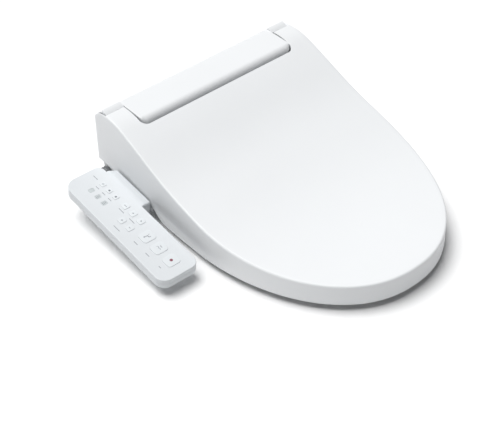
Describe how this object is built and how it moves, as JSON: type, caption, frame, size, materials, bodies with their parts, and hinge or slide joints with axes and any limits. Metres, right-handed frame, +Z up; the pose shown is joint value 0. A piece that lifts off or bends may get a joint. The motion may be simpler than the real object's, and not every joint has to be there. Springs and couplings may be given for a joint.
{
  "type": "electric bidet seat",
  "caption": "Low electric bidet seat for an elongated toilet: a curved soft-close lid over a heated ring seat, a washing body at the rear and a key panel on an arm at one side.",
  "frame": {"origin": "middle of the line between the two fixing bolts, on the underside of the mounting plate, which is the height of the toilet's rim", "axes": "+Z up, -Y towards the nose of the seat, +Y towards the tank, +X to the right as seen from the nose; the control panel is on the -X side"},
  "size_m": [0.4942, 0.526, 0.1418],
  "materials": {
    "gloss_white": "glossy moulded",
    "case_white": "satin moulded",
    "panel_white": "semi-gloss moulded",
    "key_white": "semi-gloss moulded with printed marks",
    "grey_plastic": "moulded",
    "dark_plastic": "moulded",
    "grey_rubber": "soft moulded",
    "steel": "brushed",
    "board": "solder mask",
    "heater_foil": "thin foil",
    "window": "clear tinted"
  },
  "bodies": {
    "main_body": {"base_case": "case_white", "top_cover": "gloss_white", "mounting_plate": "steel", "case_screw_1": "steel", "case_screw_2": "steel", "case_screw_3": "steel", "case_screw_4": "steel", "hinge_bracket_left": "case_white", "hinge_bracket_right": "case_white", "hinge_pin_left": "steel", "hinge_pin_right": "steel", "soft_close_damper_left": "grey_plastic", "soft_close_damper_right": "grey_plastic", "water_heater": "case_white", "heater_plate": "heater_foil", "heater_hose": "grey_plastic", "inlet_valve": "dark_plastic", "inlet_connector": "grey_plastic", "drain_plug": "grey_plastic", "cord_gland": "grey_plastic", "circuit_board": "board", "power_module": "dark_plastic", "deodoriser_fan": "dark_plastic", "deodoriser_filter": "grey_plastic", "nozzle_guide": "dark_plastic", "nozzle_motor": "steel", "panel_base": "panel_white", "panel_cover": "panel_white", "panel_board": "board", "water_level_window": "window", "seat_level_window": "window", "lamp_window": "window"},
    "seat": {"seat_top": "gloss_white", "seat_bottom": "case_white", "seat_heater": "heater_foil", "seat_bumper_1": "grey_rubber", "seat_bumper_2": "grey_rubber", "seat_bumper_3": "grey_rubber", "seat_bumper_4": "grey_rubber"},
    "lid": {"lid": "gloss_white", "lid_bumper_left": "grey_rubber", "lid_bumper_right": "grey_rubber"},
    "nozzle": {"nozzle": "case_white", "nozzle_tip": "steel"},
    "key_stop": {"key_stop": "key_white"},
    "key_rear_wash": {"key_rear_wash": "key_white"},
    "key_front_wash": {"key_front_wash": "key_white"},
    "key_pressure_less": {"key_pressure_less": "key_white"},
    "key_pressure_more": {"key_pressure_more": "key_white"},
    "key_nozzle_back": {"key_nozzle_back": "key_white"},
    "key_nozzle_forward": {"key_nozzle_forward": "key_white"},
    "key_move": {"key_move": "key_white"},
    "key_water_heat": {"key_water_heat": "key_white"},
    "key_seat_heat": {"key_seat_heat": "key_white"},
    "key_power_save": {"key_power_save": "key_white"}
  },
  "joints": [
    {"name": "lid_hinge", "type": "hinge", "parent": "seat", "child": "lid", "pos_m": [0, 0.04, 0.115], "axis": [1, 0, 0], "range_deg": [-100, 0]},
    {"name": "nozzle_slide", "type": "slide", "parent": "main_body", "child": "nozzle", "axis": [0, -0.866, -0.5], "range_m": [0, 0.1]},
    {"name": "seat_hinge", "type": "hinge", "parent": "main_body", "child": "seat", "pos_m": [0, 0.04, 0.115], "axis": [-1, 0, 0], "range_deg": [0, 95]},
    {"name": "touch_stop", "type": "slide", "parent": "main_body", "child": "key_stop", "axis": [-0.0017, -0.1071, 0.9942], "range_m": [-0.001, 0], "stiffness_N_per_m": 800},
    {"name": "touch_rear_wash", "type": "slide", "parent": "main_body", "child": "key_rear_wash", "axis": [-0.0017, -0.1071, 0.9942], "range_m": [-0.001, 0], "stiffness_N_per_m": 800},
    {"name": "touch_front_wash", "type": "slide", "parent": "main_body", "child": "key_front_wash", "axis": [-0.0017, -0.1071, 0.9942], "range_m": [-0.001, 0], "stiffness_N_per_m": 800},
    {"name": "touch_pressure_less", "type": "slide", "parent": "main_body", "child": "key_pressure_less", "axis": [-0.0017, -0.1071, 0.9942], "range_m": [-0.001, 0], "stiffness_N_per_m": 800},
    {"name": "touch_pressure_more", "type": "slide", "parent": "main_body", "child": "key_pressure_more", "axis": [-0.0017, -0.1071, 0.9942], "range_m": [-0.001, 0], "stiffness_N_per_m": 800},
    {"name": "touch_nozzle_back", "type": "slide", "parent": "main_body", "child": "key_nozzle_back", "axis": [-0.0017, -0.1071, 0.9942], "range_m": [-0.001, 0], "stiffness_N_per_m": 800},
    {"name": "touch_nozzle_forward", "type": "slide", "parent": "main_body", "child": "key_nozzle_forward", "axis": [-0.0017, -0.1071, 0.9942], "range_m": [-0.001, 0], "stiffness_N_per_m": 800},
    {"name": "touch_move", "type": "slide", "parent": "main_body", "child": "key_move", "axis": [-0.0017, -0.1071, 0.9942], "range_m": [-0.001, 0], "stiffness_N_per_m": 800},
    {"name": "touch_water_heat", "type": "slide", "parent": "main_body", "child": "key_water_heat", "axis": [-0.0017, -0.1071, 0.9942], "range_m": [-0.001, 0], "stiffness_N_per_m": 800},
    {"name": "touch_seat_heat", "type": "slide", "parent": "main_body", "child": "key_seat_heat", "axis": [-0.0017, -0.1071, 0.9942], "range_m": [-0.001, 0], "stiffness_N_per_m": 800},
    {"name": "touch_power_save", "type": "slide", "parent": "main_body", "child": "key_power_save", "axis": [-0.0017, -0.1071, 0.9942], "range_m": [-0.001, 0], "stiffness_N_per_m": 800}
  ]
}
